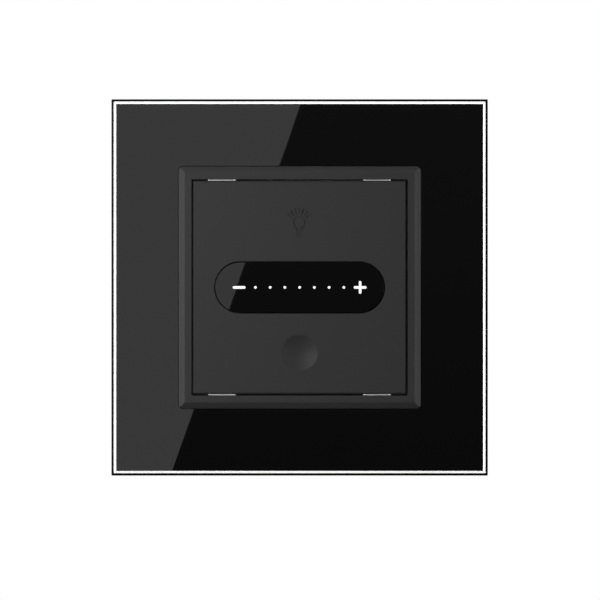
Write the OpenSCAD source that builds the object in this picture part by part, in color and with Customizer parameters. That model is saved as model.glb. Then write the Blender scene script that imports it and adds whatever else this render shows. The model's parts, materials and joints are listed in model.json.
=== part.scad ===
// Flush-mounted touch slide dimmer with a 45 mm key in a square glass frame.
//
// Axes: +X right and +Z up as seen from the room, +Y into the wall.
// The wall surface is the plane y = 0, and the origin is the middle of the bracket's back face.

/* [Glass frame] */
// Overall width and height of the frame
frame_w = 80; // [76:1:100]
// Thickness of the glass
glass_t = 4; // [3:0.5:6]
// Strip of plastic carrier showing around the glass
glass_rim = 0.55; // [0.2:0.05:1]
// Width of the ground and polished edge of the glass
glass_chamfer = 0.5; // [0.3:0.05:1.2]
// Height of the plastic carrier between the wall and the mounting tape
carrier_h = 6; // [5.5:0.5:10]
// Outer wall of the carrier
carrier_wall = 2.2; // [1.6:0.1:3]
// Thickness of the carrier's flat web
web_t = 1.6; // [1.2:0.1:2.2]
// Thickness of the double-sided tape that bonds the glass
tape_t = 0.4; // [0.2:0.1:0.8]
// Gap between the glass opening and the bezel
frame_gap = 0.1; // [0.1:0.05:0.5]

/* [Bezel] */
// Width of the bezel ring around the key
bezel_wall = 2.75; // [2.5:0.05:5]
// Height of the bezel above the glass
bezel_rise = 0.9; // [0.5:0.1:1.5]
// Width of the sloped band around the bezel
bezel_slope = 1.3; // [0.6:0.1:1.8]
// Corner radius of the bezel
bezel_r = 1; // [0.6:0.1:2]

/* [Touch key] */
// Width and height of the key
key_w = 45.2; // [40:0.1:56]
// Gap between the key and the bezel
key_gap = 0.35; // [0.32:0.01:0.6]
// Depth of the key face behind the bezel face
key_recess = 0.1; // [0:0.05:0.5]
// Thickness of the key face
key_face_t = 1.8; // [1.5:0.1:2.5]
// Thickness of the key skirt
key_wall = 1.2; // [0.9:0.1:1.8]
// Chamfer along the edge of the key face
key_chamfer = 0.25; // [0.1:0.05:0.5]
// Key face left on each side of the slider window
window_margin = 4.45; // [3:0.05:8]
// Height of the slider window
window_h = 11.1; // [8:0.1:14]
// Gap between the slider lens and its window
lens_gap = 0.25; // [0.05:0.05:0.3]
// Diameter of the finger dish
dish_d = 8; // [6:0.1:9]
// Depth of the finger dish
dish_depth = 1; // [0.4:0.1:1]
// Distance of the finger dish below the middle of the key
dish_drop = 13.8; // [11:0.1:15]
// Distance of the lamp symbol above the middle of the key
icon_lift = 13.4; // [11:0.1:15]
// Depth of the engraved lamp symbol
icon_depth = 0.15; // [0.1:0.05:0.3]

/* [Slider marks] */
// Length of the minus and plus marks
mark_w = 2.7; // [2:0.1:3.4]
// Stroke width of the marks and diameter of the dots
mark_stroke = 0.54; // [0.5:0.02:1]
// Number of dots between minus and plus
dot_count = 7; // [5:2:9]
// Distance of the minus and plus marks from the ends of the window
mark_inset = 5.3; // [4:0.1:8]
// Distance from the middle of the plus mark to the last dot
mark_to_dot = 3.46; // [3:0.02:5]

/* [Spring clips] */
// Length of each spring clip along the key edge
clip_len = 5.9; // [4:0.1:8]
// Thickness of the clip strip
clip_t = 0.25; // [0.2:0.01:0.26]
// Distance of the clips from the middle of the key
clip_offset = 16.45; // [12:0.05:17]
// Depth of the clip pocket in the bezel
pocket_d = 1.2; // [0.9:0.05:1.8]

/* [Support bracket] */
// Thickness of the steel bracket
bracket_t = 1.2; // [1:0.1:2]
// Distance from the edge of the frame to the edge of the bracket
bracket_margin = 4.5; // [4.5:0.1:8]
// Spacing of the wall box screws
box_pitch = 60; // [60:0.1:60.5]
// Width of the wall box screw slots
slot_w = 4.2; // [3.6:0.1:4.5]
// Length of the wall box screw slots
slot_len = 7; // [6:0.5:9]

/* [Rear housing] */
// Width across the flats of the housing
housing_w = 50; // [49:0.5:60]
// How much wider the housing is over its rounded corners than across the flats
corner_reach = 6; // [5:0.5:9]
// Depth of the housing behind the wall surface
housing_h = 32; // [32:0.5:42]
// Wall thickness of the housing
housing_wall = 1.8; // [1.4:0.1:2.2]
// Thickness of the housing lid
lid_t = 1.6; // [1.2:0.1:2]
// Distance of the four bracket screws from the middle, along X and Z
screw_reach = 17.5; // [17:0.1:18]
// Diameter of the bracket screws
screw_d = 2.2; // [2:0.1:2.6]

/* [Terminals] */
// Spacing of the three terminals
pole_pitch = 8; // [7.4:0.1:8.4]
// Diameter of the wire entries
wire_d = 3; // [2.4:0.1:3.6]
// Length of the straight wire entry
wire_bore_len = 2.4; // [2:0.1:3]
// Diameter of the terminal screws
clamp_screw_d = 3.5; // [3:0.1:3.6]
// Diameter of the terminal screw heads
clamp_head_d = 5.2; // [4.6:0.1:5.6]
// Free travel left when a clamp is fully closed
clamp_rest = 0.1; // [0.05:0.05:0.3]

/* [Hidden] */
$fn = 48;
e = 0.01; // overshoot of a cut past the face it opens
fit = 0.05; // clearance of a pin or tab in its hole
slack = 0.15; // clearance of a part that drops into place

// Stations along Y, from the room towards the wall
tape_front = -carrier_h - tape_t;
glass_front = tape_front - glass_t;
bezel_front = glass_front - bezel_rise;
key_front = bezel_front + key_recess;
key_inside = key_front + key_face_t;

// Plan sizes
glass_w = frame_w - 2 * glass_rim;
bezel_open = key_w + 2 * key_gap;
bezel_w = bezel_open + 2 * bezel_wall;
glass_open = bezel_w + 2 * frame_gap;
bracket_w = frame_w - 2 * bracket_margin;
window_w = key_w - 2 * window_margin;
key_r = 0.15; // corner radius of the key and of the bezel's opening
glass_r = 0.2; // corner radius of the glass

// Slider marks: minus and plus at mark_x, with the dots between them
mark_x = window_w / 2 - mark_inset;
dot_pitch = 2 * (mark_x - mark_to_dot) / (dot_count - 1);
dot_xs = [for (i = [0 : dot_count - 1]) (i - (dot_count - 1) / 2) * dot_pitch];
light_xs = concat([-mark_x], dot_xs, [mark_x]);

// Layers behind the key face
flange_w = 1; // lens flange around the window
flange_t = 0.8;
foil_t = 0.15;
guide_t = 1; // base of the light guide
guide_h = 4.2; // height of the light guide and of the baffle
baffle_t = 1.9;
board_t = 1.2;
chip_room = 1.15; // space for the chips between the touch board and the backplate
backplate_t = 1;
lens_back = key_inside + flange_t;
foil_back = lens_back + foil_t;
guide_back = foil_back + guide_t;
board_front = guide_back + baffle_t;
board_back = board_front + board_t;
backplate_front = board_back + chip_room;
key_back = backplate_front + backplate_t;
inner_w = key_w - 2 * key_wall; // inside the key skirt
guide_w = 2 * mark_x + mark_w + 2;
led_h = 0.6;

// Plug connection between the key and the power board
pin_count = 6;
pin_pitch = 2.54;
pin_w = 0.64;
header_h = 2.5;
header_w = 2.5;
pin_len = 5.9; // length of the pins behind the header
header_back = board_back + header_h;
socket_front = header_back + 0.1;
socket_h = 8.5;
connector_z = 5;
connector_w = pin_count * pin_pitch;
connector_window = [connector_w + 1, header_w + 1]; // opening around the connector
pin_tip = header_back + pin_len;

// Power board inside the housing
pcb_t = 1.6;
pcb_front = socket_front + socket_h;
pcb_back = pcb_front + pcb_t;
housing_round = housing_w + corner_reach;
cavity_w = housing_w - 2 * housing_wall;
cavity_round = housing_round - 2 * housing_wall;
cavity_back = housing_h - housing_wall;
boss_d = 5;
boss_back = 13; // end of the bosses that take the bracket screws
post_z = 9; // posts and ledges that hold the power board, above and below the middle
screw_head_h = 0.9;
screw_head_d = 4.4;
screw_hole_d = screw_d + 0.4; // clearance hole in the bracket and the lid
screw_tip = boss_back - 2;

// Terminals: rising cages between a fixed contact bar and a captive screw
pole_xs = [-pole_pitch, 0, pole_pitch];
block_wall = 1.15; // beside the outer chambers
cage_side = 1;
cage_w = wire_d + 1 + 2 * cage_side;
cage_len = 5;
cage_end = 1.4;
chamber_w = cage_w + 2 * slack;
block_w = 2 * pole_pitch + chamber_w + 2 * block_wall;
block_front = housing_h - 14;
block_bottom = -housing_w / 2;
head_h = 1.6; // terminal screw head
head_z = block_bottom + 0.2;
ledge_z = head_z + head_h + 0.1;
ledge_t = 1;
chamber_z = ledge_z + ledge_t;
travel = wire_d - clamp_rest; // travel of a cage from open to closed
cage_z = chamber_z + slack + travel; // underside of an open cage
bar_t = 1;
bar_w = cage_w - 2 * cage_side - 0.4; // between the sides of the cage
grip_h = 3; // room for the screw between the cage's lower end and the bar
bar_z = cage_z + cage_end + grip_h;
wire_z = bar_z + bar_t + wire_d / 2;
cage_top = wire_z + wire_d / 2 + cage_end;
chamber_top = cage_top + slack * 2;
block_top = chamber_top + 1;
mouth_d = wire_d + 1.4;
mouth_len = 0.7;
chamber_back = housing_h - mouth_len - wire_bore_len;
cage_y = chamber_back - slack - cage_len / 2;
bar_back = chamber_back - slack * 2;

// ---- Building blocks ----

// A flat outline in X and Z, made solid from y0 to y1
module slab(y0, y1) {
    translate([0, y1, 0]) rotate([90, 0, 0]) linear_extrude(y1 - y0) children();
}

// A square with round corners
module round_square(w, h, r) {
    square([w - 2 * r, h], center = true);
    square([w, h - 2 * r], center = true);
    for (x = [-1, 1], z = [-1, 1]) translate([x * (w / 2 - r), z * (h / 2 - r)]) circle(r);
}

// A square ring with round corners
module ring_outline(outer, inner, outer_r, inner_r) {
    difference() {
        round_square(outer, outer, outer_r);
        round_square(inner, inner, inner_r);
    }
}

// A slot with round ends, along X
module capsule(w, h) {
    square([w - h, h], center = true);
    for (x = [-1, 1]) translate([x * (w - h) / 2, 0]) circle(h / 2);
}

// Children, repeated on the four sides of the square
module four_sides() {
    for (a = [0 : 90 : 270]) rotate([0, a, 0]) children();
}

// What a chamfer takes off the front edges of a square of width w: across in the face, deep along Y
module edge_cut(w, y, across, deep) {
    four_sides() translate([-w, 0, w / 2]) rotate([90, 0, 90]) linear_extrude(2 * w)
        polygon([[y - e, -across - across / deep * e], [y - e, 1], [y + deep + deep / across, 1]]);
}

// A tube along a helix whose axis is Y
module helix(radius, wire, y0, y1, turns) {
    sides = 8;
    per_turn = 18;
    steps = turns * per_turn;
    function ring(i) = let (a = i * 360 / per_turn, y = y0 + (y1 - y0) * i / steps)
        [for (s = [0 : sides - 1]) let (b = s * 360 / sides, r = radius + wire / 2 * cos(b))
            [r * cos(a), y + wire / 2 * sin(b), r * sin(a)]];
    points = [for (i = [0 : steps]) each ring(i)];
    tube = [for (i = [0 : steps - 1], s = [0 : sides - 1]) let (n = (s + 1) % sides)
        each [[i * sides + s, i * sides + n, (i + 1) * sides + s],
              [i * sides + n, (i + 1) * sides + n, (i + 1) * sides + s]]];
    ends = [[for (s = [sides - 1 : -1 : 0]) s], [for (s = [0 : sides - 1]) steps * sides + s]];
    polyhedron(points, concat(tube, ends));
}

// Two crossed grooves in a screw head
module cross_recess(len, w, deep) {
    for (a = [0, 90]) rotate([0, 0, a]) translate([-len / 2, -w / 2, -e]) cube([len, w, deep + e]);
}

// ---- Glass frame ----

// Tempered glass, painted black behind, with a ground edge
module glass_panel() {
    color("black") difference() {
        slab(glass_front, tape_front) ring_outline(glass_w, glass_open, glass_r, bezel_r + frame_gap);
        edge_cut(glass_w, glass_front, glass_chamfer, glass_chamfer);
    }
}

// Double-sided tape between the glass and its carrier
module mounting_tape() {
    edge = 2;
    color("dimgray") slab(tape_front, -carrier_h)
        ring_outline(glass_w - 2 * edge, glass_open + 2 * edge, 1, 1);
}

// Plastic frame behind the glass: it rests on the wall and grips the edges of the bracket
module carrier_frame() {
    finger_t = 1.2;
    finger_w = 10;
    finger_at = 17;
    lip_t = 1.2;
    lip_h = 2.2;
    rib_t = 1;
    rib_at = 24;
    rib_len = (frame_w - carrier_wall - glass_open - lip_t) / 2;
    web_back = -carrier_h + web_t;
    notch = [9, 1.4];
    color([0.06, 0.06, 0.07]) difference() {
        union() {
            slab(-carrier_h, 0)
                ring_outline(frame_w, frame_w - 2 * carrier_wall, glass_r, glass_r);
            slab(-carrier_h, web_back)
                ring_outline(frame_w - carrier_wall, glass_open, glass_r, bezel_r + frame_gap);
            slab(-carrier_h, -carrier_h + lip_h)
                ring_outline(glass_open + 2 * lip_t, glass_open, bezel_r, bezel_r + frame_gap);
            four_sides() for (x = [-1, 1]) {
                translate([x * finger_at - finger_w / 2, web_back - e, bracket_w / 2 + slack])
                    cube([finger_w, -web_back, finger_t]);
                translate([x * rib_at - rib_t / 2, web_back - e, glass_open / 2 + lip_t / 2])
                    cube([rib_t, -web_back - bracket_t - slack, rib_len]);
            }
        }
        // notch in the lower edge for lifting the frame off
        translate([-notch[0] / 2, -notch[1], -frame_w / 2 - e])
            cube([notch[0], notch[1] + e, carrier_wall + 2 * e]);
    }
}

// ---- Bezel and spring clips ----

clip_z = bezel_open / 2 - key_gap + fit; // inner face of a clip
clip_out = bezel_open / 2 + pocket_d; // outer face of a clip, on the pocket floor
clip_front = bezel_front + 0.45;
clip_back = -4.6;
pocket_front = bezel_front + 2.2;
pocket_inset = 0.5; // how far a pocket opens into the gap beside the key

// Rooms for the clips, cut in the bezel
module clip_pockets() {
    for (z = [-1, 1], x = [-1, 1]) translate([x * clip_offset, 0, 0])
        translate([-clip_len / 2 - fit, pocket_front, z > 0 ? bezel_open / 2 - pocket_inset : -clip_out])
            cube([clip_len + 2 * fit, clip_back + fit - pocket_front, pocket_d + pocket_inset]);
}

// Matte ring around the key, with pegs through the bracket
module bezel_frame() {
    color([0.21, 0.21, 0.22]) difference() {
        union() {
            slab(bezel_front, -bracket_t) ring_outline(bezel_w, bezel_open, bezel_r, key_r);
            bezel_pegs(peg_d, 0);
        }
        edge_cut(bezel_w, bezel_front, bezel_slope, bezel_rise);
        clip_pockets();
    }
}

peg_d = 2.2;
peg_at = 9;

// Pegs from the bezel into the bracket, or the holes for them
module bezel_pegs(d, over) {
    four_sides() for (x = [-1, 1])
        translate([x * peg_at, over, (bezel_open + bezel_wall) / 2]) rotate([90, 0, 0])
            cylinder(h = bracket_t + 2 * over, d = d);
}

// A U of spring steel: one leaf in the gap beside the key, with an ear at each end, and one in the pocket
module spring_clip(x, side) {
    ear_w = 0.55;
    ear_h = 0.25;
    leaf_front = pocket_front + fit;
    color("silver") mirror([0, 0, side > 0 ? 0 : 1]) translate([x - clip_len / 2, 0, 0]) {
        translate([0, clip_front, clip_z]) cube([clip_len, clip_back - clip_front, clip_t]);
        for (at = [0, clip_len - ear_w])
            translate([at, clip_front - ear_h, clip_z]) cube([ear_w, ear_h + e, clip_t]);
        translate([0, leaf_front, clip_out - clip_t]) cube([clip_len, clip_back - leaf_front, clip_t]);
        translate([0, clip_back - clip_t, clip_z]) cube([clip_len, clip_t, clip_out - clip_z]);
    }
}

// ---- Touch key ----

// Moulded key face with a skirt, the slider window, the finger dish and the lamp symbol
module key_plate() {
    dish_r = (pow(dish_d / 2, 2) + pow(dish_depth, 2)) / (2 * dish_depth);
    color([0.22, 0.22, 0.22]) difference() {
        slab(key_front, key_back) round_square(key_w, key_w, key_r);
        slab(key_inside, key_back + e) square(inner_w, center = true);
        edge_cut(key_w, key_front, key_chamfer, key_chamfer);
        slab(key_front - e, key_inside + e) capsule(window_w, window_h);
        translate([0, key_front + dish_depth - dish_r, -dish_drop]) sphere(dish_r);
        slab(key_front - e, key_front + icon_depth) translate([0, icon_lift]) lamp_icon();
    }
}

// A lamp with rays: the bulb, the three rings of its cap, and seven rays
module lamp_icon() {
    line = 0.32;
    bulb_r = 1.35;
    bulb_z = 0.35;
    neck_w = 1.5;
    neck_z = -1.5;
    ring_pitch = 0.62;
    ray_in = 1.8;
    ray_out = 3.1;
    ray_step = 18;
    cap_taper = 0.25;
    difference() {
        union() {
            translate([0, bulb_z]) circle(bulb_r);
            translate([-neck_w / 2, neck_z]) square([neck_w, bulb_z - neck_z]);
        }
        translate([0, bulb_z]) circle(bulb_r - line);
        translate([line - neck_w / 2, neck_z - 1]) square([neck_w - 2 * line, bulb_z - neck_z + 1]);
    }
    for (i = [0 : 2]) let (ring_w = neck_w - cap_taper * i)
        translate([-ring_w / 2, neck_z - ring_pitch * i]) square([ring_w, line]);
    for (i = [-3 : 3]) translate([0, bulb_z]) rotate(i * ray_step)
        translate([-line / 2, ray_in]) square([line, ray_out - ray_in]);
}

// The minus, dots and plus, each grown by g all round
module marks(g = 0) {
    stroke = mark_stroke + 2 * g;
    for (x = [-mark_x, mark_x]) translate([x, 0]) capsule(mark_w + 2 * g, stroke);
    translate([mark_x, 0]) rotate(90) capsule(mark_w + 2 * g, stroke);
    for (x = dot_xs) translate([x, 0]) circle(stroke / 2);
}

// Gloss black lens, flush with the key face, with a flange behind it
module slider_lens() {
    color([0.02, 0.02, 0.02]) difference() {
        union() {
            slab(key_front, key_inside + e) capsule(window_w - 2 * lens_gap, window_h - 2 * lens_gap);
            slab(key_inside, lens_back) capsule(window_w + 2 * flange_w, window_h + 2 * flange_w);
        }
        slab(key_front - e, lens_back + e) marks(fit / 2);
    }
}

// Printed electrode sheet stuck behind the lens
module touch_foil() {
    color("orange") slab(lens_back, foil_back) difference() {
        capsule(window_w, window_h);
        capsule(guide_w - 1, mark_w + 0.6);
    }
}

// White diffuser whose raised marks fill the lens
module light_guide() {
    color("white") {
        slab(key_front, foil_back + e) marks();
        slab(foil_back, guide_back) round_square(guide_w, guide_h, 0.6);
    }
}

// Black grid that keeps the light of each mark apart
module led_baffle() {
    wall = 0.7;
    cell = min(dot_pitch, mark_to_dot) - wall;
    color([0.1, 0.1, 0.1]) slab(guide_back, board_front) difference() {
        round_square(guide_w, guide_h, 0.6);
        for (x = light_xs) translate([x, 0]) square([cell, guide_h - 2 * wall], center = true);
    }
}

// Circuit board of the key
module touch_board() {
    notch = 1.5;
    color("darkgreen") slab(board_front, board_back) difference() {
        square(inner_w - 2 * slack, center = true);
        for (a = [0 : 90 : 270]) rotate(a) translate([inner_w / 2, inner_w / 2]) circle(notch);
    }
}

// One light-emitting diode behind each mark
module leds() {
    color("lightyellow") for (x = light_xs)
        translate([x - 0.8, board_front - led_h, -0.4]) cube([1.6, led_h, 0.8]);
}

// Coil spring that carries the touch signal from the dish to the board
module touch_spring() {
    wire = 0.5;
    color("gold") translate([0, 0, -dish_drop])
        helix(3, wire, key_inside + wire / 2 + e, board_front - wire / 2 - e, 4);
}

// A flat chip with short leads on two sides, on the back of the touch board
module chip(x, z, w, h, pins) {
    body_t = 0.9;
    lead = [0.3, 0.5, 0.9]; // width, height and length
    translate([x, board_back, z]) {
        color([0.12, 0.12, 0.12]) translate([-w / 2, 0.1, -h / 2]) cube([w, body_t, h]);
        color("silver") for (s = [-1, 1], i = [0 : pins - 1])
            translate([(i - (pins - 1) / 2) * w / pins - lead[0] / 2, 0,
                    s * h / 2 - (s > 0 ? e : lead[2] - e)])
                cube(lead);
    }
}

chip_x = 8; // places of the two chips, beside and below the middle of the key
chip_z = -7;

// Chip that senses the finger
module touch_controller() {
    chip(-chip_x, chip_z, 6, 4.4, 8);
}

// Chip that sets the brightness
module microcontroller() {
    chip(chip_x, chip_z, 7.8, 5.3, 10);
}

// Pins behind the touch board
module pin_header() {
    color([0.08, 0.08, 0.08]) slab(board_back, header_back)
        translate([0, connector_z]) square([connector_w, header_w], center = true);
    color("gold") pins(pin_w, header_back - e, pin_tip);
}

// Square pins in a row, or the holes for them
module pins(w, y0, y1) {
    slab(y0, y1) for (i = [0 : pin_count - 1])
        translate([(i - (pin_count - 1) / 2) * pin_pitch, connector_z]) square(w, center = true);
}

// Plate that closes the key from behind
module key_backplate() {
    post_at = inner_w / 2 - 4;
    color([0.1, 0.1, 0.1]) {
        slab(backplate_front, key_back) difference() {
            square(inner_w - 2 * fit, center = true);
            translate([0, connector_z]) square(connector_window, center = true);
        }
        // posts that press the board against the baffle
        slab(board_back, backplate_front + e) for (x = [-1, 1], z = [-1, 1])
            translate([x * post_at, z * post_at]) circle(1.5);
    }
}

// ---- Support bracket ----

// Pressed steel plate with slots for the wall box screws
module support_bracket() {
    window = [30, 24];
    color("lightgray") difference() {
        slab(-bracket_t, 0) difference() {
            round_square(bracket_w, bracket_w, 5);
            round_square(window[0], window[1], 2);
            for (a = [0 : 90 : 270]) rotate(a) translate([box_pitch / 2, 0]) capsule(slot_len, slot_w);
            for (x = [-1, 1], z = [-1, 1])
                translate([x * screw_reach, z * screw_reach]) circle(d = screw_hole_d);
        }
        bezel_pegs(peg_d + 2 * fit, e);
    }
}

// Four screws from the bracket into the housing
module bracket_screws() {
    color("silver") for (x = [-1, 1], z = [-1, 1])
        translate([x * screw_reach, -bracket_t - screw_head_h, z * screw_reach]) rotate([-90, 0, 0])
            difference() {
                union() {
                    cylinder(h = screw_head_h, d = screw_head_d);
                    cylinder(h = screw_head_h + bracket_t + screw_tip, d = screw_d);
                }
                cross_recess(2.6, 0.6, 0.5);
            }
}

// ---- Rear housing ----

// Square with the corners rounded to a circle, which fits a round wall box
module housing_outline(w, round_d) {
    intersection() {
        square(w, center = true);
        circle(d = round_d, $fn = 96);
    }
}

// Outline of the four bosses with their webs to the corners, grown by g all round
module bosses(g) {
    web_w = 1.6;
    reach = housing_round / 2 - screw_reach * sqrt(2);
    for (a = [0 : 90 : 270]) rotate(a) translate([screw_reach, screw_reach]) {
        circle(boss_d / 2 + g);
        rotate(45) translate([0, -web_w / 2 - g]) square([reach + 1, web_w + 2 * g]);
    }
}

// Cup behind the bracket, with bosses, board ledges, vents and the opening for the terminals
module rear_housing() {
    vent = [1.6, 9];
    vent_pitch = 3.6;
    vent_y = housing_h - 15;
    over = 1;
    ledge = [1.4, 2.4];
    sunk = 0.5;
    color([0.25, 0.25, 0.26]) difference() {
        union() {
            difference() {
                slab(0, housing_h) housing_outline(housing_w, housing_round);
                slab(-e, cavity_back) housing_outline(cavity_w, cavity_round);
            }
            intersection() {
                slab(lid_t, cavity_back)
                    housing_outline(housing_w - housing_wall, housing_round - housing_wall);
                union() {
                    slab(lid_t, boss_back) bosses(0);
                    for (side = [0, 1], z = [-1, 1]) mirror([side, 0, 0])
                        translate([cavity_w / 2 - ledge[0], pcb_back, z * post_z - ledge[1] / 2])
                            cube([ledge[0] + sunk, cavity_back - pcb_back + e, ledge[1]]);
                }
            }
        }
        for (x = [-1, 1], z = [-1, 1])
            translate([x * screw_reach, boss_back + e, z * screw_reach]) rotate([90, 0, 0])
                cylinder(h = boss_back, d = screw_d + 2 * fit);
        translate([-block_w / 2 - fit, block_front - fit, block_bottom - over])
            cube([block_w + 2 * fit, housing_h, block_top - block_bottom + over + fit]);
        for (a = [-90, 0, 90], i = [-2 : 2]) rotate([0, a, 0])
            translate([i * vent_pitch - vent[0] / 2, vent_y, housing_w / 2 - housing_wall - over])
                cube([vent[0], vent[1], housing_wall + 2 * over]);
    }
}

// Plate in the mouth of the housing, with posts that hold the power board
module housing_lid() {
    post_r = 1.6;
    color([0.2, 0.2, 0.21]) difference() {
        union() {
            slab(0, lid_t) housing_outline(cavity_w - 2 * slack, cavity_round - 2 * slack);
            slab(lid_t - e, pcb_front) for (x = [-1, 1], z = [-1, 1])
                translate([x * (cavity_w / 2 - 3), z * post_z]) circle(post_r);
        }
        slab(-e, lid_t + e) {
            translate([0, connector_z]) square(connector_window, center = true);
            for (x = [-1, 1], z = [-1, 1])
                translate([x * screw_reach, z * screw_reach]) circle(d = screw_hole_d);
        }
    }
}

// Socket that takes the pins of the key
module pin_socket() {
    color([0.06, 0.06, 0.06]) difference() {
        slab(socket_front, pcb_front)
            translate([0, connector_z]) square([connector_w, header_w], center = true);
        pins(pin_w + 4 * fit, socket_front - e, pin_tip + 0.6);
    }
}

// Main circuit board
module power_board() {
    color("seagreen") difference() {
        slab(pcb_front, pcb_back) difference() {
            housing_outline(cavity_w - 4 * slack, cavity_round - 4 * slack);
            bosses(0.5);
        }
        for (x = pole_xs) bar_tab(x, fit);
    }
}

// ---- Parts on the power board ----

spreader_w = 28;
spreader_t = 1.5;
spreader_z = cavity_w / 2 - 4.6; // underside of the heat spreader
spreader_back = cavity_back - 1.5;
tab_t = 1.3; // metal tab of a transistor
tab_hole_y = pcb_back + 15.8;
transistor_x = 7;
tab_screw_d = 3;

// Aluminium plate that carries both power transistors
module heat_spreader() {
    color("gainsboro") difference() {
        translate([-spreader_w / 2, pcb_back, spreader_z])
            cube([spreader_w, spreader_back - pcb_back, spreader_t]);
        for (x = [-1, 1]) translate([x * transistor_x, tab_hole_y, spreader_z - e])
            cylinder(h = spreader_t + 2 * e, d = tab_screw_d);
    }
}

// Power transistor, standing on its leads with its tab against the heat spreader
module transistor(x) {
    body = [10, 9, 4.4];
    lead = [0.8, 3.4, 0.5];
    lead_pitch = 2.54;
    tab_len = 6.3;
    translate([x, pcb_back, spreader_z]) {
        color([0.1, 0.1, 0.1]) translate([-body[0] / 2, lead[1], -body[2]]) cube(body);
        color("silver") difference() {
            translate([-body[0] / 2, lead[1] + body[1] - e, -tab_t]) cube([body[0], tab_len, tab_t]);
            translate([0, tab_hole_y - pcb_back, -tab_t - e])
                cylinder(h = tab_t + 2 * e, d = tab_screw_d + 0.4);
        }
        color("silver") for (i = [-1 : 1]) translate([i * lead_pitch - lead[0] / 2, 0, -2.6])
            cube([lead[0], lead[1] + e, lead[2]]);
    }
}

// Screws that clamp the transistors
module transistor_screws() {
    head = [5.4, 2]; // diameter and height
    color("silver") for (x = [-1, 1]) translate([x * transistor_x, tab_hole_y, spreader_z - tab_t])
        difference() {
            union() {
                translate([0, 0, -head[1]]) cylinder(h = head[1], d = head[0]);
                cylinder(h = tab_t + spreader_t, d = tab_screw_d - 2 * fit);
            }
            translate([0, 0, -head[1]]) cross_recess(3, 0.8, head[1] / 2);
        }
}

choke_x = -7;
choke_z = 5.8;
choke_r = 4.6; // middle of the choke's core
core_r = 2;
winding_wire = 0.6;
choke_y = pcb_back + core_r + winding_wire + fit; // the winding just clears the board

// Ring core of the interference choke
module choke_core() {
    color([0.85, 0.8, 0.3]) translate([choke_x, choke_y, choke_z])
        rotate([90, 0, 0]) rotate_extrude() translate([choke_r, 0]) circle(core_r);
}

// Turns of copper wire around the core
module choke_winding() {
    turns = 14;
    gap = 40; // degrees left free between the first and the last turn
    color([0.8, 0.4, 0.2]) translate([choke_x, choke_y, choke_z])
        for (i = [0 : turns - 1]) rotate([0, gap / 2 + i * (360 - gap) / (turns - 1), 0])
            translate([choke_r, 0, 0])
                rotate_extrude() translate([core_r + winding_wire / 2 + fit / 2, 0]) circle(winding_wire / 2);
}

// Film capacitor across the mains
module film_capacitor() {
    body = [6, 12, 16];
    edge = 2.2; // from the wall of the housing
    color([0.9, 0.75, 0.15]) translate([edge - cavity_w / 2, pcb_back, -body[2] / 2]) cube(body);
}

// Electrolytic capacitor of the low-voltage supply
module bulk_capacitor() {
    can_d = 8;
    can_h = 12;
    score = 0.2; // depth of the cross on its end
    color([0.15, 0.15, 0.3]) translate([9, pcb_back, 8]) rotate([-90, 0, 0]) difference() {
        cylinder(h = can_h, d = can_d);
        translate([0, 0, can_h - score]) cross_recess(5, 0.4, 1);
        translate([0, 0, 1.2]) rotate_extrude() translate([can_d / 2 + 0.2, 0]) circle(0.5);
    }
}

// Varistor, a coated disc on two leads
module varistor() {
    disc_d = 9;
    disc_t = 3;
    lift = 7; // middle of the disc above the board
    lead_z = 2.5;
    color([0.1, 0.3, 0.7]) translate([cavity_w / 2 - 5.4, pcb_back + lift, 9]) {
        rotate([0, 90, 0]) cylinder(h = disc_t, d = disc_d);
        for (z = [-lead_z, lead_z]) translate([disc_t / 2, -lift, z])
            rotate([-90, 0, 0]) cylinder(h = 4, d = 0.7);
    }
}

// Round micro fuse
module fuse() {
    color([0.7, 0.3, 0.1]) translate([cavity_w / 2 - 6.8, pcb_back, -3]) rotate([-90, 0, 0])
        cylinder(h = 7.5, d = 8);
}

transformer_x = 4;
transformer_z = -3.6;

// Ferrite core of the supply transformer
module transformer_core() {
    core = [9, 8.6, 6];
    leg = [1.2, 1.6]; // thickness of its sides and of its ends
    front = -3.6;
    translate([transformer_x - core[0] / 2, pcb_back + 1, transformer_z + front])
        color([0.2, 0.2, 0.2]) difference() {
            cube(core);
            translate([leg[0], leg[1], -1]) cube([core[0] - 2 * leg[0], core[1] - 2 * leg[1], core[2] + 2]);
        }
}

// Winding of the supply transformer, around the middle of its core
module transformer_coil() {
    coil = [6.4, 5.2, 6.8];
    color([0.85, 0.75, 0.2]) translate([transformer_x - coil[0] / 2, pcb_back + 2.7, transformer_z - 4])
        cube(coil);
}

// Bridge rectifier on the front of the power board
module rectifier() {
    body = [4.7, 2.3, 3.9];
    stand = 0.1; // air under the body
    lead = [0.7, 0.7, 1];
    lead_in = 0.9; // how far a lead reaches past the body
    translate([-12, pcb_front, -10]) {
        color([0.1, 0.1, 0.1]) translate([0, -body[1] - stand, 0]) cube(body);
        color("silver") for (x = [0.7, 3.2], z = [-lead_in, body[2] + lead_in - lead[2]])
            translate([x, -lead[1], z]) cube(lead);
    }
}

// ---- Terminals ----

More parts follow.
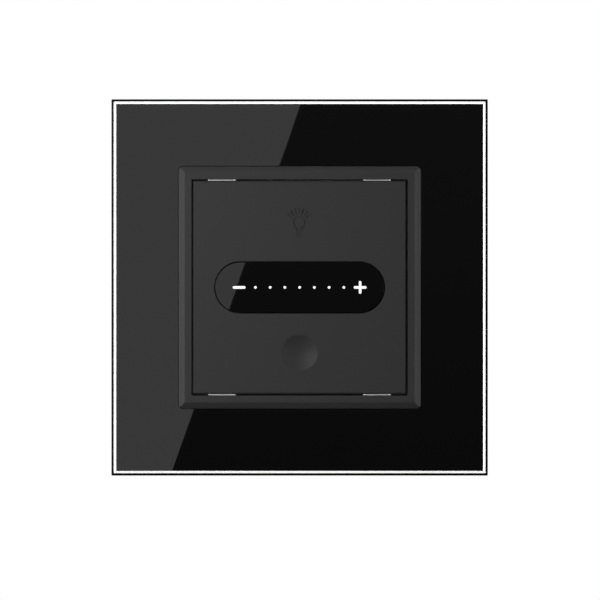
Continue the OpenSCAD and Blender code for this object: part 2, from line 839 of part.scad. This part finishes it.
// Insulating block with a chamber, a screw well and a wire entry for each pole
module terminal_block() {
    color([0.75, 0.75, 0.72]) difference() {
        translate([-block_w / 2, block_front, block_bottom])
            cube([block_w, housing_h - block_front, block_top - block_bottom]);
        for (x = pole_xs) translate([x, 0, 0]) {
            translate([-chamber_w / 2, chamber_back - cage_len - 2 * slack, chamber_z])
                cube([chamber_w, cage_len + 2 * slack, chamber_top - chamber_z]);
            translate([0, cage_y, block_bottom - e])
                cylinder(h = ledge_z - block_bottom + e, d = clamp_head_d + 0.3);
            translate([0, cage_y, ledge_z - e]) cylinder(h = ledge_t + 2 * e, d = clamp_screw_d + 0.4);
            translate([0, housing_h + e, wire_z]) rotate([90, 0, 0])
                cylinder(h = housing_h - chamber_back + 2 * e, d = wire_d);
            translate([0, housing_h, wire_z]) rotate([90, 0, 0])
                cylinder(h = mouth_len, d1 = mouth_d, d2 = wire_d);
            translate([-bar_w / 2 - fit, block_front - e, bar_z - fit])
                cube([bar_w + 2 * fit, chamber_back - block_front - cage_len / 2, bar_t + 2 * fit]);
        }
    }
}

// Narrow end of a contact bar, through the power board
module bar_tab(x, g) {
    tab_w = 1.4;
    translate([x - tab_w / 2 - g, pcb_front - (g > 0 ? e : 0), bar_z - g])
        cube([tab_w + 2 * g, pcb_t + 2 * e, bar_t + 2 * g]);
}

// Copper bar from the power board into a clamp cage
module contact_bar(x) {
    color([0.8, 0.5, 0.3]) {
        translate([x - bar_w / 2, pcb_back + e, bar_z]) cube([bar_w, bar_back - pcb_back - e, bar_t]);
        bar_tab(x, 0);
    }
}

// Captive screw: its head stays in the well and its tip bears on the contact bar
module terminal_screw(x) {
    color("silver") translate([x, cage_y, head_z]) difference() {
        union() {
            cylinder(h = head_h, d = clamp_head_d);
            cylinder(h = bar_z - 0.1 - head_z, d = clamp_screw_d);
        }
        cross_recess(4, 0.8, 0.9);
    }
}

// Cage that the screw draws down, to press the wire on the contact bar
module clamp_cage(x) {
    color([0.85, 0.75, 0.45]) translate([x, cage_y, 0]) difference() {
        translate([-cage_w / 2, -cage_len / 2, cage_z]) cube([cage_w, cage_len, cage_top - cage_z]);
        translate([-cage_w / 2 + cage_side, -cage_len / 2 - 1, cage_z + cage_end])
            cube([cage_w - 2 * cage_side, cage_len + 2, cage_top - cage_z - 2 * cage_end]);
        translate([0, 0, cage_z - e]) cylinder(h = cage_end + 2 * e, d = clamp_screw_d + 2 * fit);
    }
}

// ---- The nodes ----

glass_panel();
mounting_tape();
carrier_frame();
bezel_frame();
spring_clip(-clip_offset, 1);  // spring_clip_top_left
spring_clip(clip_offset, 1);  // spring_clip_top_right
spring_clip(-clip_offset, -1);  // spring_clip_bottom_left
spring_clip(clip_offset, -1);  // spring_clip_bottom_right
key_plate();
slider_lens();
light_guide();
touch_foil();
led_baffle();
touch_board();
leds();
touch_spring();
touch_controller();
microcontroller();
pin_header();
key_backplate();
support_bracket();
bracket_screws();
housing_lid();
rear_housing();
pin_socket();
power_board();
heat_spreader();
transistor(-transistor_x);  // transistor_left
transistor(transistor_x);  // transistor_right
transistor_screws();
choke_core();
choke_winding();
film_capacitor();
bulk_capacitor();
varistor();
fuse();
transformer_core();
transformer_coil();
rectifier();
terminal_block();
contact_bar(pole_xs[0]);  // contact_bar_live
contact_bar(pole_xs[1]);  // contact_bar_neutral
contact_bar(pole_xs[2]);  // contact_bar_load
terminal_screw(pole_xs[0]);  // terminal_screw_live
terminal_screw(pole_xs[1]);  // terminal_screw_neutral
terminal_screw(pole_xs[2]);  // terminal_screw_load
clamp_cage(pole_xs[0]);  // clamp_cage_live
clamp_cage(pole_xs[1]);  // clamp_cage_neutral
clamp_cage(pole_xs[2]);  // clamp_cage_load
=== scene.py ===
# Looks of a flush-mounted touch dimmer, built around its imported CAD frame. Lengths are in metres.
import json
import math
import bmesh
import bpy
from mathutils import Matrix, Vector


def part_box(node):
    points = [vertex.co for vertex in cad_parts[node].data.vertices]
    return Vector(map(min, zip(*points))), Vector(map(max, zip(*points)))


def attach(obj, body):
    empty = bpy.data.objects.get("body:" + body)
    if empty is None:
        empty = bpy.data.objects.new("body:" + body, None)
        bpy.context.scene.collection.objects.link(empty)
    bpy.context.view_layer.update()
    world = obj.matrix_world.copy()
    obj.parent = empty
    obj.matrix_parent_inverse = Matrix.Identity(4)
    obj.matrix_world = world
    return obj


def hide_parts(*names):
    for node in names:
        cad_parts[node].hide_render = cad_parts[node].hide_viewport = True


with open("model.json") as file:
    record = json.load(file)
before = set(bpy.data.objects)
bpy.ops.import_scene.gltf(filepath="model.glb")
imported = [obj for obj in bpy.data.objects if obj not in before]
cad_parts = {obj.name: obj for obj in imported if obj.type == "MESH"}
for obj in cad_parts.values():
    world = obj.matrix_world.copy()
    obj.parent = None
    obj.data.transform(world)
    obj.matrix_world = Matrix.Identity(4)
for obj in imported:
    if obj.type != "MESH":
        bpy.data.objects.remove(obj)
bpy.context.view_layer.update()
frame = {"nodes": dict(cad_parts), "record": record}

# ---- Rear housing ----
# The cup that fills the wall box: one moulding of dark grey flame-retardant plastic, with
# vents on three sides, bosses for the bracket screws and a window for the terminals.
# Its walls carry the fine spark-eroded texture of the mould.

MM = 0.001
home = {n: b for b, names in frame["record"]["behaviour"]["bodies"].items() for n in names}


def node(tree, kind, **inputs):
    """A shader node of that kind, with some of its inputs set by name."""
    made = tree.nodes.new("ShaderNode" + kind)
    for name, value in inputs.items():
        made.inputs[name].default_value = value
    return made


def new_group(name, inputs, outputs):
    """An empty node group, and its input and output nodes."""
    tree = bpy.data.node_groups.new(name, "ShaderNodeTree")
    for way, sockets in (("INPUT", inputs), ("OUTPUT", outputs)):
        for label, kind in sockets.items():
            tree.interface.new_socket(name=label, in_out=way, socket_type="NodeSocket" + kind)
    return tree, tree.nodes.new("NodeGroupInput"), tree.nodes.new("NodeGroupOutput")


def about_zero(tree, value, width, middle):
    """value minus a half, times width, plus middle: noise turned into a variation."""
    centred = node(tree, "Math")
    centred.operation = "SUBTRACT"
    centred.inputs[1].default_value = 0.5
    tree.links.new(value, centred.inputs[0])
    spread = tree.nodes.new("ShaderNodeMath")
    spread.operation = "MULTIPLY_ADD"
    tree.links.new(centred.outputs[0], spread.inputs[0])
    for socket, given in ((spread.inputs[1], width), (spread.inputs[2], middle)):
        if isinstance(given, (int, float)):
            socket.default_value = given
        else:
            tree.links.new(given, socket)
    return spread.outputs[0]


# Mould texture: broad, faint clouds in the colour and fine grain in roughness and height
mould_texture, given, result = new_group(
    "mould_texture",
    {"Color": "Color", "Clouds": "Float", "Roughness": "Float", "Unevenness": "Float",
     "Grain": "Float"},
    {"Color": "Color", "Roughness": "Float", "Height": "Float"},
)
place = node(mould_texture, "TexCoord")
grain = node(mould_texture, "TexNoise", Detail=2.0, Roughness=0.6)
clouds = node(mould_texture, "TexNoise", Scale=70.0, Detail=4.0)
tint = node(mould_texture, "VectorMath")
tint.operation = "SCALE"
link = mould_texture.links.new
link(place.outputs["Object"], grain.inputs["Vector"])
link(place.outputs["Object"], clouds.inputs["Vector"])
link(given.outputs["Grain"], grain.inputs["Scale"])
link(given.outputs["Color"], tint.inputs[0])
cloudy = about_zero(mould_texture, clouds.outputs["Fac"], given.outputs["Clouds"], 1.0)
link(cloudy, tint.inputs["Scale"])
link(tint.outputs[0], result.inputs["Color"])
gloss = about_zero(
    mould_texture, grain.outputs["Fac"], given.outputs["Unevenness"], given.outputs["Roughness"]
)
link(gloss, result.inputs["Roughness"])
link(grain.outputs["Fac"], result.inputs["Height"])


def textured(name, group, relief, constants, **inputs):
    """A material whose colour, roughness and bump come from a group. Constants go on the shader."""
    made = bpy.data.materials.new(name)
    made.use_nodes = True
    tree = made.node_tree
    shader = tree.nodes["Principled BSDF"]
    for socket, value in constants.items():
        shader.inputs[socket].default_value = value
    surface = tree.nodes.new("ShaderNodeGroup")
    surface.node_tree = group
    for socket, value in inputs.items():
        surface.inputs[socket].default_value = value
    bump = node(tree, "Bump", Strength=1.0, Distance=relief)
    tree.links.new(surface.outputs["Color"], shader.inputs["Base Color"])
    tree.links.new(surface.outputs["Roughness"], shader.inputs["Roughness"])
    tree.links.new(surface.outputs["Height"], bump.inputs["Height"])
    tree.links.new(bump.outputs["Normal"], shader.inputs["Normal"])
    return made


unevenness = 0.3  # how far the gloss of a moulded face wanders, as a share of its roughness


def moulded(name, color, roughness, grain=9000.0, relief=0.004 * MM, clouds=0.12, **constants):
    """Moulded plastic or resin. grain counts the bumps in a metre, and relief is their height."""
    return textured(
        name, mould_texture, relief, constants,
        Color=(*color, 1.0), Clouds=clouds, Roughness=roughness,
        Unevenness=unevenness * roughness, Grain=grain,
    )


crease = math.radians(40)  # a sharper fold than this keeps its edge in the shading


def piece(name, shape, material, *stands_for, largest_wins=50):
    """Turns the shape into a piece that rides where its CAD node does and stands for it."""
    mesh = bpy.data.meshes.new(name)
    sliver = 0.0001 * MM  # narrower faces than this are leftovers of the rounding
    bmesh.ops.remove_doubles(shape, verts=shape.verts, dist=sliver)
    bmesh.ops.dissolve_degenerate(shape, dist=sliver, edges=shape.edges)
    shape.to_mesh(mesh)
    shape.free()
    for material_used in material if isinstance(material, list) else [material]:
        mesh.materials.append(material_used)
    mesh.shade_smooth()
    mesh.set_sharp_from_angle(angle=crease)
    made = bpy.data.objects.new(name, mesh)
    bpy.context.scene.collection.objects.link(made)
    even = made.modifiers.new("flat faces stay flat", "WEIGHTED_NORMAL")
    even.keep_sharp = True
    even.weight = largest_wins
    even.thresh = 0.0
    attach(made, home[stands_for[0]])
    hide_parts(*stands_for)
    return made


same_point = 0.002 * MM
same_plane = math.radians(0.5)


def clean_copy(name):
    """The CAD node's shape as a bmesh, with its triangles joined and its flat faces whole."""
    shape = bmesh.new()
    shape.from_mesh(frame["nodes"][name].data)
    bmesh.ops.remove_doubles(shape, verts=shape.verts, dist=same_point)
    bmesh.ops.dissolve_limit(
        shape, angle_limit=same_plane, verts=shape.verts, edges=shape.edges,
        use_dissolve_boundaries=False, delimit=set(),
    )
    return shape


sharp_fold = math.radians(32)


def ease(shape, edge, segments=2, edges=None):
    """Rounds those edges, or every sharp one, as a mould, a press or a cutter leaves them."""
    sharp = [e for e in shape.edges if e.is_manifold and e.calc_face_angle() > sharp_fold]
    bmesh.ops.bevel(
        shape, geom=sharp if edges is None else edges, offset=edge, offset_type="OFFSET",
        segments=segments, profile=0.5, affect="EDGES", clamp_overlap=True, material=-1,
    )


def rounded(name, edge, material, segments=2, **how):
    """The CAD node's shape with all its sharp edges rounded."""
    shape = clean_copy(name)
    ease(shape, edge, segments)
    return piece(name + ".fine", shape, material, name, **how)


def sink(shape, x, z, width, height, depth):
    """Sinks a rectangle of the rearmost flat face into it."""
    back = max(v.co.y for v in shape.verts)
    near, facing = 0.01 * MM, 0.99
    for at, way in (((x - width / 2, 0, 0), (1, 0, 0)), ((x + width / 2, 0, 0), (1, 0, 0)),
                    ((0, 0, z - height / 2), (0, 0, 1)), ((0, 0, z + height / 2), (0, 0, 1))):
        rear = [
            f for f in shape.faces if f.calc_center_median().y > back - near and f.normal.y > facing
        ]
        lines = {e for f in rear for e in f.edges}
        corners = {v for f in rear for v in f.verts}
        cut = rear + list(lines) + list(corners)
        bmesh.ops.bisect_plane(shape, geom=cut, plane_co=at, plane_no=way)
    field = [
        f for f in shape.faces if f.normal.y > facing and all(
            v.co.y > back - near and abs(v.co.x - x) < width / 2 + near
            and abs(v.co.z - z) < height / 2 + near for v in f.verts)
    ]
    sunk = bmesh.ops.extrude_face_region(shape, geom=field)
    bmesh.ops.delete(shape, geom=field, context="FACES")
    moved = [v for v in sunk["geom"] if isinstance(v, bmesh.types.BMVert)]
    bmesh.ops.translate(shape, verts=moved, vec=(0, -depth, 0))


housing_plastic = moulded("housing_plastic", (0.055, 0.056, 0.06), 0.55, grain=5000, relief=0.008 * MM)
cup = clean_copy("rear_housing")
# the shallow field that a rating label would be stuck in
sink(cup, x=0, z=7 * MM, width=34 * MM, height=18 * MM, depth=0.3 * MM)
ease(cup, 0.25 * MM, 3)
piece("rear_housing.fine", cup, housing_plastic, "rear_housing")
rounded("housing_lid", 0.15 * MM, housing_plastic)

# ---- Power board and what is soldered to it ----
# A glass-fibre board under green solder mask. It carries the mains filter, the supply
# and the two transistors, which are screwed to an aluminium plate that spreads their heat.

board_mask, given, result = new_group(
    "board_mask",
    {"Color": "Color", "Roughness": "Float"},
    {"Color": "Color", "Roughness": "Float", "Height": "Float"},
)
place = node(board_mask, "TexCoord")
tracks = node(board_mask, "TexBrick", Scale=160.0,
              **{"Mortar Size": 0.06, "Mortar Smooth": 0.3, "Bias": 0.0})
tracks.offset, tracks.squash = 0.37, 0.7
tracks.inputs["Color1"].default_value = (1, 1, 1, 1)
tracks.inputs["Color2"].default_value = (0.82, 0.82, 0.82, 1)
tracks.inputs["Mortar"].default_value = (0.45, 0.45, 0.45, 1)
turned = node(board_mask, "Mapping", Rotation=(math.radians(90), 0.0, 0.0))
weave = node(board_mask, "TexNoise", Scale=2600.0, Detail=2.0)
shade = node(board_mask, "Mix")
shade.data_type, shade.blend_type = "RGBA", "MULTIPLY"
shade.inputs["Factor"].default_value = 1.0
link = board_mask.links.new
link(place.outputs["Object"], turned.inputs["Vector"])
link(turned.outputs["Vector"], tracks.inputs["Vector"])
link(place.outputs["Object"], weave.inputs["Vector"])
link(given.outputs["Color"], shade.inputs["A"])
link(tracks.outputs["Color"], shade.inputs["B"])
link(shade.outputs["Result"], result.inputs["Color"])
weave_gloss = 0.15  # how far the weave under the mask changes its gloss
gloss = about_zero(board_mask, weave.outputs["Fac"], weave_gloss, given.outputs["Roughness"])
link(gloss, result.inputs["Roughness"])
link(tracks.outputs["Color"], result.inputs["Height"])
circuit_board = textured(
    "circuit_board", board_mask, 0.03 * MM, {"Coat Weight": 0.3, "Coat Roughness": 0.2},
    Color=(0.02, 0.13, 0.055, 1.0), Roughness=0.4,
)
rounded("power_board", 0.05 * MM, circuit_board, 1)

# Drawn or rolled metal: fine streaks along X, and a slow change of tone
drawn_metal, given, result = new_group(
    "drawn_metal",
    {"Color": "Color", "Roughness": "Float", "Streaks": "Float"},
    {"Color": "Color", "Roughness": "Float", "Height": "Float"},
)
place = node(drawn_metal, "TexCoord")
along = node(drawn_metal, "Mapping", Scale=(0.06, 1.0, 1.0))
streaks = node(drawn_metal, "TexNoise", Detail=3.0)
tone = node(drawn_metal, "TexNoise", Scale=160.0, Detail=3.0)
tint = node(drawn_metal, "VectorMath")
tint.operation = "SCALE"
link = drawn_metal.links.new
link(place.outputs["Object"], along.inputs["Vector"])
link(place.outputs["Object"], tone.inputs["Vector"])
link(along.outputs["Vector"], streaks.inputs["Vector"])
link(given.outputs["Streaks"], streaks.inputs["Scale"])
link(given.outputs["Color"], tint.inputs[0])
tone_width, streak_gloss = 0.25, 0.2  # how far tone and gloss wander over the metal
link(about_zero(drawn_metal, tone.outputs["Fac"], tone_width, 1.0), tint.inputs["Scale"])
link(tint.outputs[0], result.inputs["Color"])
gloss = about_zero(drawn_metal, streaks.outputs["Fac"], streak_gloss, given.outputs["Roughness"])
link(gloss, result.inputs["Roughness"])
link(streaks.outputs["Fac"], result.inputs["Height"])


def metal(name, color, roughness, streaks=6000.0, relief=0.002 * MM, **constants):
    """Bare or plated metal. streaks counts the drawing marks in a metre, and relief is their depth."""
    constants.setdefault("Metallic", 1.0)
    return textured(
        name, drawn_metal, relief, constants, Color=(*color, 1.0), Roughness=roughness, Streaks=streaks
    )


chip_resin = moulded("chip_resin", (0.018, 0.018, 0.019), 0.5, grain=12000)
aluminium = metal("aluminium", (0.78, 0.79, 0.8), 0.35)
screw_steel = metal("screw_steel", (0.62, 0.62, 0.6), 0.28)
enamelled_copper = metal("enamelled_copper", (0.62, 0.22, 0.08), 0.22)
coated_ferrite = moulded("coated_ferrite", (0.42, 0.36, 0.05), 0.35)
bare_ferrite = moulded("bare_ferrite", (0.035, 0.035, 0.037), 0.7, grain=4000)
yellow_plastic = moulded("yellow_plastic", (0.72, 0.46, 0.04), 0.35)
capacitor_sleeve = moulded("capacitor_sleeve", (0.02, 0.026, 0.09), 0.22, grain=1500)
blue_coating = moulded("blue_coating", (0.02, 0.1, 0.34), 0.3, grain=1200, relief=0.02 * MM)
brown_plastic = moulded("brown_plastic", (0.17, 0.045, 0.018), 0.4)
rounded("heat_spreader", 0.12 * MM, aluminium)
rounded("transistor_left", 0.12 * MM, chip_resin)
rounded("transistor_right", 0.12 * MM, chip_resin)
rounded("transistor_screws", 0.12 * MM, screw_steel)
rounded("choke_core", 0.1 * MM, coated_ferrite)
rounded("choke_winding", 0.05 * MM, enamelled_copper)
rounded("film_capacitor", 0.5 * MM, yellow_plastic, 3)
rounded("bulk_capacitor", 0.15 * MM, capacitor_sleeve)
rounded("varistor", 0.6 * MM, blue_coating, 4)
rounded("fuse", 0.4 * MM, brown_plastic, 3)
rounded("transformer_core", 0.15 * MM, bare_ferrite)
rounded("transformer_coil", 0.5 * MM, yellow_plastic, 3)
rounded("rectifier", 0.1 * MM, chip_resin)

# ---- Terminals ----
# A block of light grey thermoset with three cage clamps. Each captive screw draws its
# plated cage toward the screw's head, and so presses the wire onto the tinned copper bar.

terminal_plastic = moulded("terminal_plastic", (0.36, 0.36, 0.34), 0.5, grain=5000, relief=0.006 * MM)
tinned_copper = metal("tinned_copper", (0.74, 0.62, 0.52), 0.3)
cage_steel = metal("cage_steel", (0.7, 0.62, 0.4), 0.3)
rounded("terminal_block", 0.15 * MM, terminal_plastic)
for pole in ("live", "neutral", "load"):
    rounded("contact_bar_" + pole, 0.08 * MM, tinned_copper)
    rounded("terminal_screw_" + pole, 0.12 * MM, screw_steel)
    rounded("clamp_cage_" + pole, 0.15 * MM, cage_steel)

# ---- Support bracket ----
# Blanked from 1.2 mm zinc-plated steel sheet. The housing is screwed to it from the front,
# and two of its four slots take the screws of the wall box.

zinc_steel = metal("zinc_steel", (0.58, 0.6, 0.61), 0.34, streaks=3000)
rounded("support_bracket", 0.12 * MM, zinc_steel)
rounded("bracket_screws", 0.12 * MM, screw_steel)
black_plastic = moulded("black_plastic", (0.014, 0.014, 0.015), 0.5)
rounded("pin_socket", 0.08 * MM, black_plastic)

# ---- Bezel and spring clips ----
# The bezel is moulded from the same matte graphite plastic as the key. Four U springs of
# bright strip steel stand in its slots and grip the key's edges from above and below.

key_plastic = moulded("key_plastic", (0.046, 0.046, 0.047), 0.55, grain=11000,
                      relief=0.0025 * MM, clouds=0.03, **{"Specular IOR Level": 0.25})
spring_steel = metal("spring_steel", (0.88, 0.88, 0.86), 0.36, Metallic=0.4)
rounded("bezel_frame", 0.08 * MM, key_plastic, 3)
end_round, edge_round, level_within = 0.35 * MM, 0.06 * MM, 0.01 * MM
for corner in ("top_left", "top_right", "bottom_left", "bottom_right"):
    strip = clean_copy("spring_clip_" + corner)
    tip = min(v.co.y for v in strip.verts) + level_within
    ends = [e for e in strip.edges if all(v.co.y < tip for v in e.verts)
            and abs(e.verts[0].co.x - e.verts[1].co.x) < level_within]
    ease(strip, end_round, 4, ends)
    ease(strip, edge_round)
    piece("spring_clip_" + corner + ".fine", strip, spring_steel, "spring_clip_" + corner)

# ---- Touch key ----
# A one-piece key face over the touch board. Light from nine LEDs passes the baffle and the
# white guide, whose raised marks end flush with the gloss black lens. The LEDs give no light
# here: the glow of the marks is painted into the guide's material.

electrode_foil = moulded("electrode_foil", (0.42, 0.2, 0.06), 0.35)
# painted glow: the emission lights the guide's marks in place of the LEDs, which give no light
white_diffuser = moulded("white_diffuser", (0.9, 0.9, 0.89), 0.35, clouds=0.02,
                         **{"Emission Color": (1.0, 1.0, 1.0, 1.0), "Emission Strength": 0.5})
led_resin = moulded("led_resin", (0.8, 0.72, 0.45), 0.2)
gold_contact = metal("gold_contact", (0.9, 0.66, 0.26), 0.25)
lens_plastic = moulded("lens_plastic", (0.0012, 0.0012, 0.0013), 0.004, grain=60,
                       relief=0.00001 * MM, clouds=0.1)
rounded("key_backplate", 0.15 * MM, black_plastic)
rounded("touch_board", 0.05 * MM, circuit_board, 1)
rounded("pin_header", 0.05 * MM, black_plastic)
rounded("microcontroller", 0.05 * MM, chip_resin)
rounded("touch_controller", 0.05 * MM, chip_resin)
rounded("touch_spring", 0.01 * MM, gold_contact, 1)
rounded("leds", 0.05 * MM, led_resin)
rounded("led_baffle", 0.05 * MM, black_plastic)
rounded("light_guide", 0.02 * MM, white_diffuser)
rounded("touch_foil", 0.02 * MM, electrode_foil, 1)
lens = rounded("slider_lens", 0.03 * MM, [lens_plastic, black_plastic], largest_wins=100)
lens_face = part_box("slider_lens")[0].y + 0.1 * MM
for face in lens.data.polygons:
    face.material_index = int(face.center.y > lens_face)  # only the face is polished
rounded("key_plate", 0.08 * MM, key_plastic, 3)

# ---- Glass frame ----
# Tempered glass, painted black behind, with a ground white facet round its front edge. It
# is bonded with foam tape to a black carrier, whose fingers clip over the bracket.

carrier_plastic = moulded("carrier_plastic", (0.004, 0.004, 0.0042), 0.5, relief=0.001 * MM,
                          **{"Specular IOR Level": 0.2})
foam_tape = moulded("foam_tape", (0.02, 0.02, 0.02), 0.8, grain=3000)
black_glass = moulded("black_glass", (0.0012, 0.0012, 0.0013), 0.004, grain=60,
                      relief=0.00001 * MM, clouds=0.1, IOR=1.52)
# the facet's emission is a painted glow that keeps it white in any light; it stands in for the light
# that the clear body of the glass would gather
ground_glass_painted_glow = moulded("ground_glass_painted_glow", (0.93, 0.94, 0.93), 0.35, grain=8000, clouds=0.04, IOR=1.52,
                       **{"Emission Color": (1.0, 1.0, 1.0, 1.0), "Emission Strength": 0.45})
rounded("carrier_frame", 0.04 * MM, carrier_plastic)
rounded("mounting_tape", 0.05 * MM, foam_tape, 1)
panel = rounded("glass_panel", 0.05 * MM, [black_glass, ground_glass_painted_glow], largest_wins=100)
slanted = (0.6, 0.8)  # the facet is neither flat nor upright
for face in panel.data.polygons:
    sideways = math.hypot(face.normal.x, face.normal.z)
    outside = face.center.x * face.normal.x + face.center.z * face.normal.z > 0
    face.material_index = int(outside and slanted[0] < sideways < slanted[1] and face.normal.y < 0)

# ---- Studio ----
# A long lens looks straight at the key. A pale floor lies below, and soft light comes from
# both sides. Behind the camera a dark flag and a slanted card show in the black glass.

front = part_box("key_plate")[0].y
focal, sensor = 0.9, 0.036
view_width = 127.34 * MM
distance = view_width * focal / sensor
camera_data = bpy.data.cameras.new("camera")
camera_data.sensor_width, camera_data.lens = sensor / MM, focal / MM
camera_data.clip_start, camera_data.clip_end = 0.01, 50.0
camera = bpy.data.objects.new("camera", camera_data)
aside, below = 0.08 * MM, 2.67 * MM  # the camera's small offsets from the key's middle
camera.location = (aside, front - distance, -below)
camera.rotation_euler = (math.radians(90), 0, 0)
bpy.context.scene.collection.objects.link(camera)
bpy.context.scene.camera = camera


def card(name, corners, low, high):
    """A glowing card, low at its foot and high at its top, that the camera doesn't see."""
    shape = bmesh.new()
    shape.faces.new([shape.verts.new(c) for c in corners])
    mesh = bpy.data.meshes.new(name)
    shape.to_mesh(mesh)
    shape.free()
    glow = bpy.data.materials.new(name)
    glow.use_nodes = True
    glow.node_tree.nodes.clear()
    across = node(glow.node_tree, "TexCoord")
    height = node(glow.node_tree, "SeparateXYZ")
    reach = max(c[2] for c in corners)
    fade = node(glow.node_tree, "MapRange",
                **{"From Min": -reach, "From Max": reach, "To Min": low, "To Max": high})
    light = node(glow.node_tree, "Emission")
    surface = node(glow.node_tree, "OutputMaterial")
    glow.node_tree.links.new(across.outputs["Object"], height.inputs[0])
    glow.node_tree.links.new(height.outputs["Z"], fade.inputs["Value"])
    glow.node_tree.links.new(fade.outputs[0], light.inputs["Strength"])
    glow.node_tree.links.new(light.outputs[0], surface.inputs["Surface"])
    mesh.materials.append(glow)
    made = bpy.data.objects.new(name, mesh)
    made.visible_camera = False
    bpy.context.scene.collection.objects.link(made)


behind = 0.3  # metres from the camera back to the cards
mirrored = (2 * distance + behind) / distance


def shows_at(x, z, further=0.0):
    """Where a card behind the camera must be, to show at that point of the glass."""
    return (
        camera.location.x + (x - camera.location.x) * mirrored,
        camera.location.y - behind - further,
        camera.location.z + (z - camera.location.z) * mirrored,
    )


half = 1.1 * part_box("glass_panel")[1].x  # the cards reach a little past the glass
edge_at, edge_lean = -13.44 * MM, 0.35  # where the card's edge crosses the glass, and its lean
flag_behind, flag_low, flag_high = 0.02, -0.07, 0.22
card("slanted_card", [shows_at(-half, -half), shows_at(edge_at - edge_lean * half, -half),
                      shows_at(edge_at + edge_lean * half, half), shows_at(-half, half)], 0.9, 0.9)
flag = 8 * half
flag_corners = ((-flag, -flag), (flag, -flag), (flag, flag), (-flag, flag))
card("dark_flag", [shows_at(x, z, flag_behind) for x, z in flag_corners], flag_low, flag_high)


def softbox(name, toward, away, width, height, radiance):
    """A rectangular light in that direction from the key, aimed at it."""
    data = bpy.data.lights.new(name, "AREA")
    data.shape, data.size, data.size_y = "RECTANGLE", width, height
    data.energy = radiance * math.pi * width * height
    made = bpy.data.objects.new(name, data)
    made.location = away * Vector(toward).normalized()
    made.rotation_euler = (-made.location).to_track_quat("-Z", "Y").to_euler()
    made.visible_camera = False
    bpy.context.scene.collection.objects.link(made)


softbox("front_softbox", (-0.5, -0.8, 0.31), away=0.25, width=0.12, height=0.16, radiance=4.9)
softbox("left_softbox", (-0.936, -0.352, 0.0), away=0.22, width=0.12, height=0.16, radiance=2.7)
softbox("right_softbox", (0.936, -0.352, 0.0), away=0.4, width=0.2, height=0.25, radiance=3.6)

# The room: almost dark in front, a bright band just behind the glass, and a white wall at the back
world = bpy.data.worlds.new("white_studio")
bpy.context.scene.world = world
world.use_nodes = True
sky = world.node_tree
sky.nodes.clear()
direction = node(sky, "TexCoord")
split = node(sky, "SeparateXYZ")
seen = node(sky, "LightPath")
room = node(sky, "Background", Color=(1, 1, 1, 1))
surface = node(sky, "OutputWorld")
sky.links.new(direction.outputs["Generated"], split.inputs[0])
level = split.outputs["Y"]


def step(start, end, low, high):
    """Strength that goes from low to high as the direction turns from start to end."""
    made = node(sky, "MapRange", **{"From Min": start, "From Max": end, "To Min": low, "To Max": high})
    made.interpolation_type = "SMOOTHSTEP"
    sky.links.new(level, made.inputs["Value"])
    return made.outputs[0]


band = node(sky, "Math")
band.operation = "ADD"
sky.links.new(step(start=-0.05, end=0.03, low=0.03, high=5.5), band.inputs[0])
sky.links.new(step(start=0.2, end=0.35, low=0.0, high=-4.4), band.inputs[1])
pick = node(sky, "Mix", B=1.0)
pick.data_type = "FLOAT"
sky.links.new(seen.outputs["Is Camera Ray"], pick.inputs["Factor"])
sky.links.new(band.outputs[0], pick.inputs["A"])
sky.links.new(pick.outputs["Result"], room.inputs["Strength"])
sky.links.new(room.outputs[0], surface.inputs["Surface"])
bpy.context.scene.view_settings.view_transform = "Standard"

floor_shape = bmesh.new()
floor_below = 120 * MM  # from the middle of the key
bmesh.ops.create_circle(floor_shape, cap_ends=True, radius=1.5, segments=96,
                        matrix=Matrix.Translation((0, 0, -floor_below)))
floor_mesh = bpy.data.meshes.new("floor")
floor_shape.to_mesh(floor_mesh)
floor_shape.free()
floor_mesh.materials.append(moulded("pale_floor", (0.6, 0.6, 0.59), 0.6, grain=400, clouds=0.02))
floor = bpy.data.objects.new("floor", floor_mesh)
floor.visible_diffuse = floor.visible_glossy = False
bpy.context.scene.collection.objects.link(floor)
